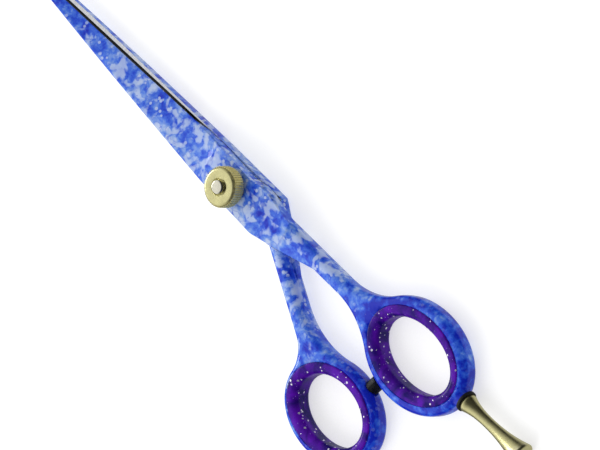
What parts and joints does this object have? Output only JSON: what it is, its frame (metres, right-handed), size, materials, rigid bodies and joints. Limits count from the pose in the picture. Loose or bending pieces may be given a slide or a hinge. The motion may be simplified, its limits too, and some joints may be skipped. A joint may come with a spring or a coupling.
{
  "type": "hair cutting shears",
  "caption": "Right-handed hair cutting shears with an offset handle, knurled tension knob, sizing inserts in the finger rings and a screwed-in finger rest.",
  "frame": {"origin": "pivot axis at the underside of the pivot screw's head, on the plane that the closed shears rest on", "axes": "+X to the tips, +Y to the thumb ring, +Z along the pivot axis towards the tension knob"},
  "size_m": [0.186, 0.05, 0.0122],
  "materials": {
    "blue_coating_finger": "glossy marbled royal blue coating, polished steel at the bevel and inner face",
    "blue_coating_thumb": "glossy marbled royal blue coating, polished steel at the bevel and inner face",
    "insert_finger": "glossy violet rubber with fine silver glitter",
    "insert_thumb": "glossy violet rubber with fine silver glitter",
    "screw_metal": "polished pale brass",
    "nylon": "natural nylon",
    "spring_steel": "bright spring steel",
    "washer_metal": "polished pale brass",
    "knob_metal": "polished pale brass, knurled side",
    "rest_metal": "polished pale brass",
    "black_rubber_washer": "black rubber",
    "black_rubber_bumper": "black rubber"
  },
  "bodies": {
    "finger_half": {"finger_blade": "blue_coating_finger", "finger_insert": "insert_finger", "pivot_washer": "nylon", "tension_spring": "spring_steel"},
    "thumb_half": {"thumb_blade": "blue_coating_thumb", "thumb_insert": "insert_thumb", "bumper": "black_rubber_bumper", "pivot_screw": "screw_metal"},
    "knob_carrier": {"thrust_washer": "washer_metal"},
    "knob": {"tension_knob": "knob_metal"},
    "rest_carrier": {"rest_washer": "black_rubber_washer"},
    "finger_rest": {"finger_rest": "rest_metal"}
  },
  "joints": [
    {"name": "blade_pivot", "type": "hinge", "parent": "finger_half", "child": "thumb_half", "pos_m": [0, 0, 0], "axis": [0, 0, -1], "range_deg": [0, 90]},
    {"name": "knob_travel", "type": "slide", "parent": "thumb_half", "child": "knob_carrier", "axis": [0, 0, 1], "range_m": [-0.00025, 0.000375], "deforming": ["tension_spring"]},
    {"name": "knob_turn", "type": "hinge", "parent": "knob_carrier", "child": "knob", "pos_m": [0, 0, 0.0092], "axis": [0, 0, 1], "range_deg": [-180, 270]},
    {"name": "rest_travel", "type": "slide", "parent": "finger_half", "child": "rest_carrier", "axis": [-0.999, -0.0436, 0], "range_m": [0, 0.0025]},
    {"name": "rest_turn", "type": "hinge", "parent": "rest_carrier", "child": "finger_rest", "pos_m": [-0.0655, -0.0036, 0.0031], "axis": [-0.999, -0.0436, 0], "range_deg": [0, 1800]}
  ],
  "couplings": [
    {"joint": "knob_turn", "follows": "knob_travel", "rad_per_m": 12566},
    {"joint": "rest_turn", "follows": "rest_travel", "rad_per_m": 12566}
  ]
}
